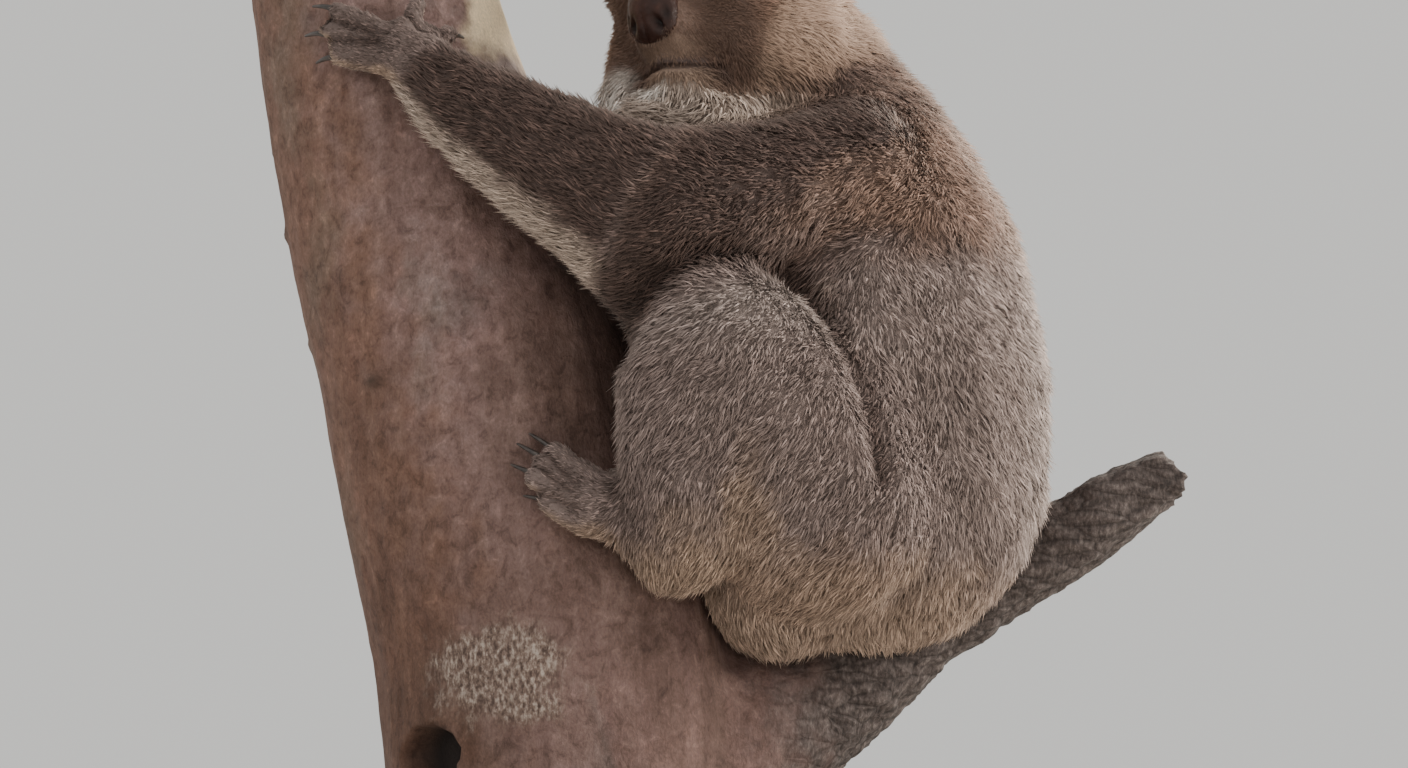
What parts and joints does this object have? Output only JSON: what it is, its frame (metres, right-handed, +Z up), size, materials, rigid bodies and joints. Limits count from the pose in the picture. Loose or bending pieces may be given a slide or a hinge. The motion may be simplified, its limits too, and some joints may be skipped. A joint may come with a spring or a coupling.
{
  "type": "koala",
  "caption": "Life-size still koala seated in the fork of a cut gum-tree trunk, arms and feet gripping the bark, head turned to its left, on a plain rod-and-base display stand.",
  "frame": {"origin": "centre of the stand base's underside", "axes": "+Z up; +X from the trunk towards the koala's back; the koala's left side faces -Y"},
  "size_m": [0.5655, 0.3423, 0.735],
  "materials": {
    "fur": "dense matt woolly grey-brown fur, cream underneath, white on chest, chin and ear fringes",
    "nose_leather": "fine-grained bare black-brown skin, slightly moist",
    "eye": "wet gloss, brown iris with an upright dark pupil",
    "claw_horn": "dark horn, semi-gloss",
    "bark": "smooth mottled pink-grey gum bark, darker on the broken branch, pale sawn ends",
    "stand_board": "satin painted board",
    "stand_rod": "brushed"
  },
  "bodies": {
    "root": {"claw_foot_left_2": "claw_horn", "claw_foot_left_3": "claw_horn", "claw_foot_left_4": "claw_horn", "claw_foot_left_5": "claw_horn", "claw_foot_right_2": "claw_horn", "claw_foot_right_3": "claw_horn", "claw_foot_right_4": "claw_horn", "claw_foot_right_5": "claw_horn", "claw_hand_left_1": "claw_horn", "claw_hand_left_2": "claw_horn", "claw_hand_left_3": "claw_horn", "claw_hand_left_4": "claw_horn", "claw_hand_left_5": "claw_horn", "claw_hand_right_1": "claw_horn", "claw_hand_right_2": "claw_horn", "claw_hand_right_3": "claw_horn", "claw_hand_right_4": "claw_horn", "claw_hand_right_5": "claw_horn", "ear_left": "fur", "ear_right": "fur", "eye_left": "eye", "eye_right": "eye", "foot_left": "fur", "foot_right": "fur", "forearm_left": "fur", "forearm_right": "fur", "hand_left": "fur", "hand_right": "fur", "head": "fur", "neck": "fur", "nose": "nose_leather", "perch_log": "bark", "shin_left": "fur", "shin_right": "fur", "stand_base": "stand_board", "stand_rod_front": "stand_rod", "stand_rod_rear": "stand_rod", "thigh_left": "fur", "thigh_right": "fur", "torso": "fur", "upper_arm_left": "fur", "upper_arm_right": "fur"}
  },
  "joints": []
}
